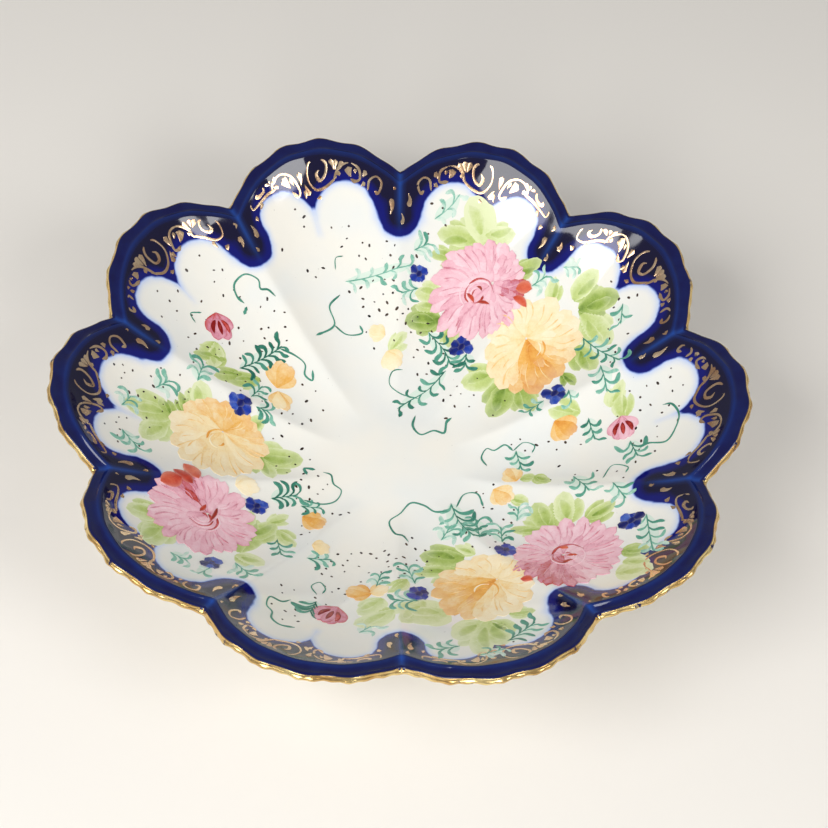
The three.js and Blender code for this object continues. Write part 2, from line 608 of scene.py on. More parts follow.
def bloom(paint, centre, radius, heart, rings, accent, seed, proud, veins, vein_tone, curls):
    """A many-petalled flower. heart is where its petals spring from, off its centre; rings are
    (start, end, petals, width), as shares of the radius; accent is (turn, span, depth) of its dark side;
    proud is how far its lowest petals stand off the glaze;
    veins are fine lines drawn out from the heart and curls are arcs turning round it."""
    rng = random.Random(seed)
    source = (centre[0] + heart[0], centre[1] + heart[1])

    def rim(turn, share):
        pull = (1 - share) * 0.8
        middle = (mix(centre[0], source[0], pull), mix(centre[1], source[1], pull))
        return polar(middle, turn, radius * share)
    for number, (start, end, petals, width) in enumerate(rings):
        offset = rng.random()
        for petal in range(petals):
            turn = 2 * math.pi * (petal + offset) / petals + rng.uniform(-0.09, 0.09)
            base = polar(source, turn, radius * start * 0.6)
            tip = rim(turn, end * rng.uniform(0.93, 1.04))
            dark = math.cos(turn - accent[0])
            tone = 0.08 + 0.24 * rng.random() + accent[2] * ease(dark, 1 - accent[1], 1.0)
            way = bowed(base, tip, rng.uniform(0.0, 0.12))
            shape = petal_width(width * radius * rng.uniform(0.9, 1.1))
            lift = proud + RING_LIFT * number + 0.02 * rng.random()
            paint.stroke(way, shape, lift, tone, across=4, dome=0.05, fineness=1.6)
    top = proud + 0.05 + RING_LIFT * len(rings)
    for number in range(veins):
        turn = 2 * math.pi * (number + rng.random() * 0.7) / veins
        near, far = rng.uniform(0.25, 0.5), rng.uniform(0.66, 0.94)
        way = bowed(rim(turn, far), rim(turn, near), rng.uniform(-0.16, -0.04))
        paint.stroke(way, comma_width(rng.uniform(0.4, 0.75)), top, vein_tone, dome=0.03, fineness=1.2)
    for number in range(curls):
        reach = radius * (0.08 + 0.26 * number / curls)
        begin = rng.uniform(0, 2 * math.pi)
        sweep = rng.uniform(1.5, 2.6)
        arc = [polar(centre, begin + sweep * share, reach * (1 + 0.25 * share))
               for share in (0, 0.33, 0.66, 1)]
        paint.stroke(arc, comma_width(rng.uniform(0.7, 1.25)), top + 0.03, 0.0 if number % 2 else 0.68,
                     across=3, dome=0.05, fineness=0.8)


# A leaf's lobes: how far each turns off its middle, how long it is and how wide.
LEAF_LOBES = ((-0.42, 0.74, 0.85), (0.42, 0.8, 0.8), (0.0, 1.0, 1.05))


def leaf(paint, base, tip, width, tone):
    """A soft leaf of three rounded lobes with a darker touch of the brush down its middle."""
    rng = random.Random(base[0] * 31 + tip[1])
    heading = math.atan2(tip[0] - base[0], tip[1] - base[1])
    length = math.hypot(tip[0] - base[0], tip[1] - base[1]) * 1.12
    for number, (fan, reach, share) in enumerate(LEAF_LOBES):
        end = polar(base, heading + fan, length * reach * rng.uniform(0.92, 1.06))
        way = bowed(base, end, rng.uniform(-0.1, 0.1))
        paint.stroke(way, blob_width(width * share), 0.02 + 0.015 * number,
                     clamp(tone + rng.uniform(-0.18, 0.12)), across=6, dome=0.02, fineness=1.3)
    start = polar(base, heading, length * 0.2)
    end = polar(base, heading + rng.uniform(-0.2, 0.2), length * 0.82)
    paint.stroke(bowed(start, end, 0.08), blob_width(width * 0.5), 0.07, clamp(tone + 0.16),
                 across=4, dome=0.02, fineness=1.4)


def sprig(paint, stem, pairs, length, tone, seed):
    """A fern-like sprig: a thin stem, and fronds off both sides that arch over and droop."""
    rng = random.Random(seed)
    way, _ = smooth_way(stem)
    paint.stroke(stem, leaf_width(length * 1.2), 0.015, -0.12, across=6, dome=0.03, fineness=1.2)
    paint.stroke(stem, line_width(0.42), 0.10, tone, fineness=0.9)
    fronds = round(pairs * 1.6)
    for number in range(fronds):
        share = (number + 0.4) / fronds
        spot, heading = way(share)
        out = Vector((-heading.y, heading.x)) * (1 if number % 2 else -1)
        reach = length * rng.uniform(0.75, 1.25) * (1 - 0.2 * share)
        droop = rng.uniform(-0.3, 0.7) + 0.4 * share
        frond = [spot, spot + (heading * 0.42 + out * 0.3) * reach,
                 spot + (heading * 0.5 + out * 0.72) * reach,
                 spot + (heading * droop + out * 1.02) * reach]
        width = rng.uniform(1.2, 2.1) * (0.5 + length * 0.1)
        paint.stroke([tuple(place_at) for place_at in frond], frond_width(width), 0.10,
                     clamp(tone + rng.uniform(-0.38, 0.1)), across=3, dome=0.05, fineness=0.7)


def starflower(paint, centre, radius, seed):
    rng = random.Random(seed)
    petals = 6
    for number in range(petals):
        turn = 2 * math.pi * number / petals + rng.uniform(-0.3, 0.3)
        reach = radius * rng.uniform(0.75, 1.15)
        petal = [polar(centre, turn, 0.2), polar(centre, turn + 0.1, reach * 0.6),
                 polar(centre, turn, reach)]
        paint.stroke(petal, petal_width(radius * 0.95), 0.24 + 0.02 * number, rng.uniform(0.3, 1.0),
                     across=3, dome=0.06, fineness=0.8)
    paint.stroke([polar(centre, 0.5, radius * 0.35), polar(centre, 0.5 + math.pi, radius * 0.35)],
                 leaf_width(radius * 0.7), 0.38, 1.0, across=3, dome=0.05, fineness=0.5)


def bud(paint, centre, radius, turn, tone, stripes, seed):
    """A half-open bud: cupped petals fanning from its base, with darker stripes drawn over them."""
    rng = random.Random(seed)
    base = polar(centre, turn + math.pi, radius * 0.9)
    for number, fan in enumerate((-0.62, 0.62, -0.22, 0.26, 0.0)):
        reach = radius * (1.85 if abs(fan) < 0.5 else 1.5) * rng.uniform(0.92, 1.05)
        petal = [base, polar(base, turn + fan * 1.1, reach * 0.55), polar(base, turn + fan * 0.8, reach)]
        paint.stroke(petal, petal_width(radius * 0.85), 0.08 + RING_LIFT * number,
                     clamp(tone + rng.uniform(-0.2, 0.12)), across=4, dome=0.06, fineness=0.9)
    for number in range(stripes):
        fan = mix(-0.75, 0.75, (number + 0.5) / stripes)
        stripe = [polar(base, turn + fan * 0.8, radius * 0.5), polar(base, turn + fan, radius),
                  polar(base, turn + fan * 0.75, radius * 1.5)]
        paint.stroke(stripe, leaf_width(radius * 0.3), 0.3, rng.uniform(0.78, 1.0),
                     across=3, dome=0.05, fineness=0.7)


# The three sprays. Places are in millimetres in the plan, +X to the right and +Y away, and a tone goes from
# 0, the palest of an enamel, to 1, its darkest.
# A bloom's rings of petals, outermost first: where they start and end, how many there are and how wide.
PINK_RINGS = (
    (0.30, 1.0, 30, 0.27), (0.22, 0.82, 26, 0.21), (0.12, 0.60, 18, 0.2), (0.06, 0.38, 11, 0.17))
YELLOW_RINGS = ((0.1, 1.0, 17, 0.44), (0.07, 0.86, 14, 0.3), (0.04, 0.6, 10, 0.22))
# A bloom: its centre, radius, heart off the centre, and the turn, span and depth of its dark side.
PINK_BLOOMS = {
    "far": ((31, 70), 19.5, (6, 3), (math.radians(100), 0.05, 0.45)),
    "left": ((-71, -40), 19.5, (2, 2), (math.radians(-35), 0.12, 0.42)),
    "near": ((60, -54), 19.5, (-1, 1), (math.radians(215), 0.6, 0.34)),
}
YELLOW_BLOOMS = {
    "far": ((52, 46), 19, (-2, 4), (math.radians(160), 0.6, 0.5)),
    "left": ((-67, -1), 18.5, (1, 5), (math.radians(20), 1.1, 0.34)),
    "near": ((30, -67), 18.5, (5, 5), (math.radians(250), 0.8, 0.44)),
}
# A dab of red: its start, end and width.
ACCENTS = {
    "far": [
        ((46, 68), (52, 67), 5), ((45, 65), (50, 61), 3), ((27, 71), (30, 67), 1.6),
        ((31, 67), (36, 65), 1.4), ((33, 71), (31, 73), 1.1)],
    "left": [
        ((-73, -24), (-79, -18), 5.5), ((-79, -26), (-86, -31), 6.5), ((-75, -27), (-82, -23), 4.5),
        ((-72, -38), (-70, -34), 1.6), ((-66, -34), (-68, -41), 1.4)],
    "near": [
        ((58, -49), (61, -50), 2), ((43, -65), (47, -67), 3), ((60, -54), (64, -55), 1.4),
        ((58, -58), (62, -57), 1.2)],
}
# A leaf: its base, its tip, its width and its tone.
LEAVES = {
    "far": [
        (30, 89, 17, 92, 7, .45), (34, 88, 28, 103, 11, .1), (34, 91, 45, 89, 7, .3),
        (24, 84, 14, 85, 4.5, .5), (17, 72, 8, 71, 6, .35), (17, 62, 4, 60, 8, .7),
        (17, 67, 8, 66, 5, .4), (20, 60, 20, 51, 5, .4), (44, 74, 54, 76, 6, .7),
        (70, 57, 83, 57, 9, .6), (68, 61, 76, 68, 8, .45), (71, 55, 80, 41, 8, .25),
        (69, 43, 75, 31, 7, .55), (63, 33, 67, 26, 3.5, .8), (60, 61, 61, 69, 5, .35),
        (38, 38, 26, 35, 8, .45), (43, 35, 36, 21, 10, .7), (45, 33, 51, 20, 7, .5),
        (69, 14, 58, 17, 5, .3), (80, 13, 84, 21, 5, .2), (85, 7, 83, 17, 4, .3),
        (-3, 48, 3, 55, 4, .2)],
    "left": [
        (-84, 5, -99, 3, 9, .3), (-86, 0, -93, -10, 8, .3), (-84, 4, -89, 9, 4.5, .65),
        (-76, 10, -75, 20, 8, .25), (-80, 7, -82, 14, 3.5, .7), (-57, 7, -52, 13, 6, .5),
        (-54, -4, -38, -2, 10, .45), (-53, 0, -47, -13, 7, .45), (-84, -45, -95, -49, 8, .3),
        (-84, -50, -87, -63, 9, .3), (-57, -54, -54, -34, 7, .5), (-56, -45, -45, -35, 8, .5),
        (-58, -56, -49, -60, 7, .3), (-48, -36, -41, -30, 4, .3), (-70, 41, -72, 30, 6, .3),
        (-66, 35, -77, 33, 5, .5), (-60, 31, -69, 26, 5, .5), (-53, 31, -63, 26, 5, .5),
        (-44, -38, -38, -46, 6, .3)],
    "near": [
        (24, -48, 9, -46, 9, .65), (22, -54, 7, -56, 7, .5), (28, -47, 22, -42, 4, .3),
        (56, -38, 51, -25, 8, .4), (62, -37, 61, -24, 8, .3), (68, -37, 78, -33, 6, .55),
        (54, -38, 43, -35, 5, .45), (78, -58, 86, -60, 5, .5), (75, -70, 85, -73, 9, .2),
        (78, -64, 86, -68, 6, .25), (28, -84, 21, -95, 10, .25), (31, -85, 35, -99, 10, .35),
        (30, -84, 27, -104, 9, .3), (38, -82, 46, -83, 5, .3), (32, -86, 36, -91, 4, .8),
        (17, -77, 3, -82, 12, .1), (9, -72, 1, -86, 8, .1), (-2, -79, -15, -86, 9, .15),
        (-6, -71, -13, -79, 8, .2), (3, -60, -3, -67, 4, .3), (46, -12, 51, -11, 4, .35),
        (51, -11, 56, -15, 4.5, .45), (42, -20, 48, -23, 4, .3)],
}
# A sprig: its stem, how full it is, how long its fronds are and its tone.
SPRIGS = {
    "far": [
        ([(-21, 75), (-10, 77), (0, 79), (6, 81)], 6, 4, .4),
        ([(14, 97), (20, 101), (24, 105)], 3, 4.5, .3), ([(6, 86), (12, 89)], 3, 5, .5),
        ([(8, 73), (1, 70)], 3, 4.5, .5), ([(12, 57), (18, 50), (21, 43)], 6, 5.5, .85),
        ([(19, 41), (12, 33), (5, 28), (0, 24)], 6, 4.8, .8), ([(27, 47), (26, 41)], 3, 5.5, .85),
        ([(52, 68), (58, 71)], 3, 4.5, .5), ([(64, 73), (70, 72)], 3, 4, .3),
        ([(71, 46), (77, 38), (84, 30)], 6, 5, .7), ([(77, 31), (79, 19)], 4, 4.8, .6),
        ([(86, 54), (85, 46)], 2, 4.5, .6), ([(56, 22), (49, 18)], 3, 4.5, .6),
        ([(65, 24), (66, 18)], 2, 4, .6), ([(72, 11), (74, 1)], 4, 4.5, .75),
        ([(86, -4), (88, -13)], 4, 4.5, .75), ([(45, 3), (47, -7)], 4, 5, .65)],
    "left": [
        ([(-47, -23), (-37, -19)], 5, 6, .85), ([(-36, -24), (-28, -24)], 3, 4, .7),
        ([(-44, -43), (-42, -53)], 4, 5, .7), ([(-33, -52), (-24, -50)], 3, 4.5, .7),
        ([(-58, -61), (-52, -68)], 4, 5.5, .5), ([(-61, 33), (-52, 40), (-45, 46)], 8, 5, .95),
        ([(-56, 21), (-52, 28)], 3, 4.5, .7), ([(-54, 17), (-49, 16)], 3, 5, .7),
        ([(-76, 21), (-74, 29)], 4, 5.5, .55), ([(-91, 13), (-86, 18)], 3, 5.5, .45),
        ([(-102, 0), (-99, 6)], 3, 4.5, .45), ([(-101, -11), (-94, -18)], 4, 4.8, .5),
        ([(-80, -64), (-74, -66)], 3, 4.5, .4), ([(-66, -67), (-70, -73)], 2, 4, .4)],
    "near": [
        ([(65, -15), (70, -25)], 4, 5.5, .6), ([(78, -24), (82, -33)], 3, 5, .6),
        ([(88, -43), (88, -63)], 6, 5, .6), ([(20, -20), (23, -30), (28, -38)], 6, 6.5, .7),
        ([(16, -38), (20, -31)], 3, 5.5, .5), ([(30, -39), (29, -28)], 4, 5.5, .6),
        ([(38, -42), (38, -33)], 4, 5.5, .6), ([(44, -31), (45, -24)], 3, 5, .5),
        ([(6, -62), (3, -52)], 4, 5.5, .55), ([(7, -72), (-2, -74)], 4, 6, .6),
        ([(-8, -64), (-6, -56)], 3, 5, .6), ([(36, -99), (46, -90)], 5, 5.5, .75),
        ([(26, -107), (35, -104)], 3, 4.5, .5), ([(20, -100), (12, -103)], 3, 6, .6),
        ([(-14, -92), (-10, -88)], 2, 5, .4), ([(-29, -74), (-31, -81)], 5, 7, .9)],
}
# A tendril: its line and its width.
TENDRILS = {
    "far": [
        ([(-23, 70), (-27, 65), (-25, 58), (-32, 52)], .9),
        ([(-25, 58), (-20, 55), (-14, 56), (-15, 59)], .8),
        ([(2, 41), (-2, 40), (-3, 35), (1, 31), (8, 29)], .6),
        ([(7, 21), (6, 16), (9, 12), (14, 14), (18, 13), (19, 18), (21, 20)], 1.1),
        ([(34, -3), (32, 1), (34, 5), (37, 4), (41, 6), (44, 3)], .8),
        ([(44, 3), (48, 6), (52, 4), (51, 1)], .6),
        ([(98, 7), (101, 6), (103, 1), (102, -4), (98, -10), (92, -8), (89, -9)], .9),
        ([(-22, 84), (-25, 83), (-25, 79)], .5)],
    "left": [
        ([(-48, 63), (-51, 65), (-54, 65), (-55, 68), (-60, 69), (-64, 65), (-63, 61), (-60, 59)], .9),
        ([(-59, 58), (-60, 55)], 1.6), ([(-78, 46), (-80, 49), (-76, 51)], .6),
        ([(-46, 45), (-40, 43), (-36, 40), (-36, 36), (-33, 34), (-33, 38)], .9),
        ([(-28, -7), (-25, -8), (-24, -12), (-21, -15), (-23, -20), (-28, -22), (-35, -21)], .8),
        ([(-31, -6), (-35, -6), (-34, -9)], 1.5)],
    "near": [
        ([(4, -39), (2, -36), (-1, -35), (-3, -29), (1, -25), (5, -20), (10, -21), (14, -24),
          (19, -24)], .9),
        ([(22, -22), (25, -16), (30, -16), (32, -22)], .8),
        ([(75, -20), (79, -14), (84, -17), (83, -20)], .6),
        ([(-29, -70), (-31, -66), (-28, -63), (-26, -66), (-27, -69)], .6),
        ([(-38, -76), (-41, -78), (-45, -77), (-46, -82), (-44, -85), (-44, -89), (-41, -92),
          (-36, -92)], .9)],
}
# A starflower: its middle and its radius.
STARFLOWERS = {
    "far": [(8, 78, 3.6), (25, 50, 4.4), (60, 24, 4.6)],
    "left": [(-60, 17, 4.6), (-52, -28, 4.0), (-66, -64, 3.8)],
    "near": [(39, -47, 4.0), (83, -44, 4.2), (7, -68, 4.4)],
}
# A bud: its middle, size, turn and tone, and for the pink ones how many stripes it has.
YELLOW_BUDS = {
    "far": [(-8, 56, 3.6, -1.2, .15), (-2, 45, 4.6, 2.6, .2), (63, 9, 5.4, 2.4, .65)],
    "left": [
        (-45, 34, 6.0, 0.3, .6), (-45, 23, 4.8, 2.9, .35), (-31, -31, 5.0, 2.0, .6),
        (-28, -45, 3.6, 1.6, .3), (-56, -20, 4.6, 1.2, .05)],
    "near": [
        (43, -9, 4.2, -0.4, .35), (39, -18, 4.8, 2.4, .4), (-14, -67, 4.8, -1.4, .6),
        (-7, -66, 3.8, 1.2, .3)],
}
PINK_BUDS = {
    "far": [(84, 3, 5.6, 3.1, .35, 3)],
    "left": [(-69, 48, 5.6, 2.8, .55, 3)],
    "near": [(-24, -81, 6.2, 3.6, .6, 3)],
}
# Loose patches of dots: middle, half-widths and how many.
DOT_PATCHES = [
    (-28, 84, 24, 22, 22), (-6, 70, 9, 22, 40), (6, 58, 9, 8, 18), (28, 28, 14, 12, 14),
    (12, 45, 8, 10, 12), (12, 92, 8, 12, 12), (85, 58, 8, 10, 14), (84, 40, 6, 12, 10),
    (94, 8, 12, 16, 34), (58, 4, 16, 8, 12), (78, -14, 24, 10, 20), (34, -30, 10, 18, 40),
    (2, -48, 14, 12, 34), (86, -66, 8, 12, 8), (-16, -56, 14, 14, 34), (-26, -36, 10, 24, 26),
    (-38, -10, 10, 14, 22), (-46, 10, 12, 14, 26), (-36, 24, 10, 10, 14), (-72, 52, 22, 20, 42),
    (-60, 34, 22, 12, 24), (-92, 14, 14, 12, 34), (-100, -8, 10, 14, 22), (-34, -80, 12, 14, 20),
    (46, -100, 14, 8, 10), (-48, 52, 10, 12, 14)]
DOT_ROOM = 2.7            # the least distance between two dots
DOT_HEIGHT = 0.13


def enamel(name, stops, edge_fade=0.0, edge_dark=0.0, tip_fade=0.0, roughness=0.14):
    """Overglaze enamel, which thins to the glaze at a stroke's edges and tip. stops run over its tone."""
    material, tree, shader = new_material(name)
    side = attribute(tree, "side")
    off_middle = sums(tree, "POWER", sums(tree, "ABSOLUTE", side, 0.0), 3.0)
    base = spread(tree, attribute(tree, "along"), 0.0, 0.45, 0.16, 0.0)
    cloud = spread(tree, noise(tree, 320, 3), 0.3, 0.7, -0.10, 0.10)
    streak = spread(tree, noise(tree, 1500, 2), 0.3, 0.7, -0.05, 0.05)
    tone = sums(tree, "ADD", attribute(tree, "tone"), sums(tree, "ADD", cloud, streak))
    tone = sums(tree, "ADD", tone, sums(tree, "ADD", base, sums(tree, "MULTIPLY", off_middle, edge_dark)))
    colour = ramp(tree, tone, stops)
    if edge_fade:
        colour = blend(tree, sums(tree, "MULTIPLY", off_middle, edge_fade), colour, WHITE_GLAZE)
    if tip_fade:
        tip = spread(tree, attribute(tree, "along"), 0.6, 1.0, 0.0, tip_fade)
        colour = blend(tree, tip, colour, WHITE_GLAZE)
    tree.links.new(colour, shader.inputs["Base Color"])
    tree.links.new(spread(tree, cloud, -0.1, 0.1, roughness, roughness + 0.08), shader.inputs["Roughness"])
    bump(tree, shader, noise(tree, 700, 2), 0.0001, 0.3)
    return material


def pink_enamel():
    return enamel("pink_enamel", [
        (0.0, rgb(246, 212, 218)), (0.35, rgb(235, 177, 190)), (0.58, rgb(208, 132, 150)),
        (0.8, rgb(194, 72, 62)), (1.0, rgb(132, 22, 20))], edge_dark=0.2)


def red_enamel():
    return enamel("red_enamel", [
        (0.0, rgb(232, 128, 92)), (0.5, rgb(198, 70, 50)), (1.0, rgb(130, 26, 24))], edge_fade=0.2)


def yellow_enamel():
    return enamel("yellow_enamel", [
        (0.0, rgb(250, 235, 200)), (0.3, rgb(245, 219, 166)), (0.65, rgb(236, 178, 92)),
        (1.0, rgb(216, 132, 44))], edge_dark=0.06, tip_fade=0.22)


def green_enamel():
    return enamel("green_enamel", [
        (0.0, rgb(220, 228, 176)), (0.4, rgb(188, 204, 124)), (0.75, rgb(148, 172, 80)),
        (1.0, rgb(102, 132, 52))], edge_fade=0.1, edge_dark=-0.35, tip_fade=0.22)


def teal_enamel():
    return enamel("teal_enamel", [
        (0.0, rgb(214, 230, 216)), (0.14, rgb(200, 224, 210)), (0.34, rgb(128, 186, 164)),
        (0.6, rgb(80, 150, 128)), (1.0, rgb(28, 100, 82))], edge_fade=0.12)


def blue_enamel():
    return enamel("blue_enamel", [
        (0.0, rgb(96, 130, 206)), (0.5, rgb(30, 58, 158)), (1.0, rgb(14, 22, 92))], edge_fade=0.14)


def paint_leaves(spray, finish):
    leaves = Paint(f"leaves_{spray}_spray", finish, "green_enamel")
    for base_x, base_y, tip_x, tip_y, width, tone in LEAVES[spray]:
        leaf(leaves, (base_x, base_y), (tip_x, tip_y), width, tone)
    leaves.finish_piece()


def paint_sprigs(spray, number, finish):
    sprigs = Paint(f"sprigs_{spray}_spray", finish, "teal_enamel")
    for index, (stem, pairs, length, tone) in enumerate(SPRIGS[spray]):
        sprig(sprigs, stem, pairs, length, tone, 100 * number + index)
    for points, width in TENDRILS[spray]:
        sprigs.stroke(points, line_width(width * 0.72), 0.10, 0.7, fineness=0.8)
    sprigs.finish_piece()


def paint_starflowers(spray, number, finish):
    stars = Paint(f"starflowers_{spray}_spray", finish, "blue_enamel")
    for index, (x, y, radius) in enumerate(STARFLOWERS[spray]):
        starflower(stars, (x, y), radius, 300 + 10 * number + index)
    stars.finish_piece()


def paint_peony(spray, number, finish):
    centre, radius, heart, accent = YELLOW_BLOOMS[spray]
    peony = Paint(f"yellow_peony_{spray}_spray", finish, "yellow_enamel")
    bloom(peony, centre, radius, heart, YELLOW_RINGS, accent, 40 + number, 0.12, 24, 0.36, 3)
    for index, (x, y, size, turn, tone) in enumerate(YELLOW_BUDS[spray]):
        bud(peony, (x, y), size, turn, tone, 0, 60 + 10 * number + index)
    peony.finish_piece()


def paint_chrysanthemum(spray, number, finish):
    centre, radius, heart, accent = PINK_BLOOMS[spray]
    chrysanthemum = Paint(f"pink_chrysanthemum_{spray}_spray", finish, "pink_enamel")
    bloom(chrysanthemum, centre, radius, heart, PINK_RINGS, accent, 20 + number, 0.22, 30, 0.36, 8)
    for index, (x, y, size, turn, tone, stripes) in enumerate(PINK_BUDS[spray]):
        bud(chrysanthemum, (x, y), size, turn, tone, stripes, 90 + 10 * number + index)
    chrysanthemum.finish_piece()


def paint_accents(spray, finish):
    dabs = Paint(f"red_accents_{spray}_spray", finish, "red_enamel")
    for index, (start, end, width) in enumerate(ACCENTS[spray]):
        middle = ((start[0] + end[0]) / 2 + 0.4, (start[1] + end[1]) / 2 + 0.4)
        tone = 0.25 + 0.14 * index
        dabs.stroke([start, middle, end], leaf_width(width), 0.46, tone, across=4, dome=0.05)
    dabs.finish_piece()


def paint_sprays():
    pink = pink_enamel()
    red = red_enamel()
    yellow = yellow_enamel()
    green = green_enamel()
    teal = teal_enamel()
    blue = blue_enamel()
    for number, spray in enumerate(("far", "left", "near")):
        paint_leaves(spray, green)
        paint_sprigs(spray, number, teal)
        paint_starflowers(spray, number, blue)
        paint_peony(spray, number, yellow)
        paint_chrysanthemum(spray, number, pink)
        paint_accents(spray, red)


def dark_enamel():
    material, tree, shader = new_material("dark_enamel")
    colour = ramp(tree, noise(tree, 240, 2), [(0.3, rgb(34, 30, 34)), (0.7, rgb(84, 66, 52))])
    tree.links.new(colour, shader.inputs["Base Color"])
    shader.inputs["Roughness"].default_value = 0.2
    return material


def paint_dots():
    """Fine dark dots scattered loosely over the white, each a flattened bead."""
    rng = random.Random(7)
    builder = bmesh.new()
    taken = []
    for middle_x, middle_y, half_x, half_y, count in DOT_PATCHES:
        for _ in range(count):
            reach = math.sqrt(rng.random())
            turn = rng.uniform(0, 2 * math.pi)
            x = middle_x + half_x * reach * math.cos(turn)
            y = middle_y + half_y * reach * math.sin(turn)
            size = rng.uniform(0.3, 0.55)
            stretch = rng.uniform(1.0, 1.9)
            spin = rng.uniform(0, math.pi)
            crowded = any(math.hypot(x - other[0], y - other[1]) < DOT_ROOM for other in taken)
            if crowded or cobalt_depth(x, y) > -2 or math.hypot(x, y) < FLOOR_RADIUS:
                continue
            taken.append((x, y))
            spot = on_inside(x, y, 0)
            up = on_inside(x, y, 1) - spot
            turned = up.to_track_quat("Z", "Y").to_matrix().to_4x4() @ Matrix.Rotation(spin, 4, "Z")
            shape = Matrix.Diagonal((size * stretch * MM, size * MM, DOT_HEIGHT * MM, 1))
            bmesh.ops.create_uvsphere(builder, u_segments=8, v_segments=4, radius=1,
                                      matrix=Matrix.Translation(spot) @ turned @ shape)
    place(finish_mesh("fine_dots", builder), dark_enamel(), "dark_enamel")


# ---------------------------------------------------------------- gold
def gold(name, light, dark, bare, bare_share):
    """Burnished gold, rubbed through to what is under it."""
    material, tree, shader = new_material(name)
    rubbed = spread(tree, noise(tree, 230, 4, 0.6), 0.66 - bare_share, 0.72 - bare_share, 0.0, 1.0)
    metal = blend(tree, spread(tree, noise(tree, 120, 2), 0.3, 0.7), light, dark)
    tree.links.new(blend(tree, rubbed, metal, bare), shader.inputs["Base Color"])
    tree.links.new(spread(tree, rubbed, 0, 1, 0.88, 0.1), shader.inputs["Metallic"])
    tree.links.new(spread(tree, noise(tree, 500, 3), 0.3, 0.7, 0.13, 0.28), shader.inputs["Roughness"])
    bump(tree, shader, noise(tree, 1400, 3), 0.00005, 0.25)
    return material


# One motif of the border: along the lip from where it starts, and in from the lip's bead. A scroll that
# winds in on itself, a flame of dabs, and an arch over a large dab. It runs twice along each lobe.
MOTIF_STARTS = (-32.5, -1.5)
GILT_LIFT = 0.06          # how far its strokes stand off the glaze
MOTIF_ROOM = 11           # the width of cobalt that the motif is drawn for
WIDEST_ROOM = 16.0
LEAST_ROOM = 4
SCROLLS = [
    ([(14, 10.6), (8.6, 12), (2.6, 11), (-0.6, 7.4), (1.2, 3.4), (5.4, 2), (8.8, 4.4), (8.4, 8),
      (5.4, 8.8), (4, 6.8), (5.4, 5.4)], 0.62),
    ([(12.4, 12), (14.6, 7), (19, 4.2), (23.4, 5.8), (25, 10), (23, 12.6), (20.8, 11.8)], 0.62)]
COMMAS = [
    (10.6, 3, 12.4, 7.4, 1.9), (13.4, 2.2, 13, 7.2, 2.1), (16, 3.6, 13.4, 7.8, 1.7),
    (15.6, 9.4, 13.2, 9, 1.4), (18.6, 6.4, 20.6, 10.6, 2.7), (21.8, 6.2, 22.4, 8.6, 1.3),
    (-1.6, 12.2, -3, 9, 1.7), (26.8, 5, 26, 8.6, 1.8), (27.8, 10.4, 26.4, 13, 1.5),
    (4.8, 13.4, 2, 13.8, 1.3)]
LAST_CURL = [(28.6, 12), (27.8, 7.4), (30, 4), (33, 4.6), (33.6, 8), (31.6, 9.2)]
FINGER_COMMAS = [
    (-3.6, 103, 98.5, 2.0), (3.4, 99.5, 104, 1.9), (0.8, 94.4, 97.2, 1.4), (-2.6, 107.5, 105, 1.6)]


def border_way(lobe):
    """From (along, in) within one lobe's border to a place in the plan."""
    count = 160
    middle = (lobe + 0.5) * LOBE_TURN
    line = []
    for number in range(count + 1):
        turn = middle + LOBE_TURN * (number / count - 0.5) * 0.9999
        radius = inside_point(fullness(turn), 1)[0]
        line.append(Vector((radius * math.sin(turn), radius * math.cos(turn))))
    lengths = [0.0]
    for first, second in zip(line, line[1:]):
        lengths.append(lengths[-1] + (second - first).length)

    def at(along, inward):
        """A place along the bead and in from it, drawn closer to it wherever the cobalt is narrow."""
        spot, inner = reach_in(along)
        room = WIDEST_ROOM
        while room > LEAST_ROOM and cobalt_depth(*(spot + inner * room)) < 1.0:
            room -= 0.5
        return tuple(spot + inner * inward * min(1.0, room / MOTIF_ROOM))

    def reach_in(along):
        goal = clamp(along + lengths[-1] / 2, 0.01, lengths[-1] - 0.01)
        number = next(i for i in range(1, count + 1) if lengths[i] >= goal)
        share = (goal - lengths[number - 1]) / (lengths[number] - lengths[number - 1])
        spot = line[number - 1].lerp(line[number], share)
        heading = (line[min(count, number + 3)] - line[max(0, number - 4)]).normalized()
        return spot, Vector((heading.y, -heading.x))
    return at


def beside_crest(crest, reach, aside):
    return (reach * math.sin(crest) + aside * math.cos(crest),
            reach * math.cos(crest) - aside * math.sin(crest))


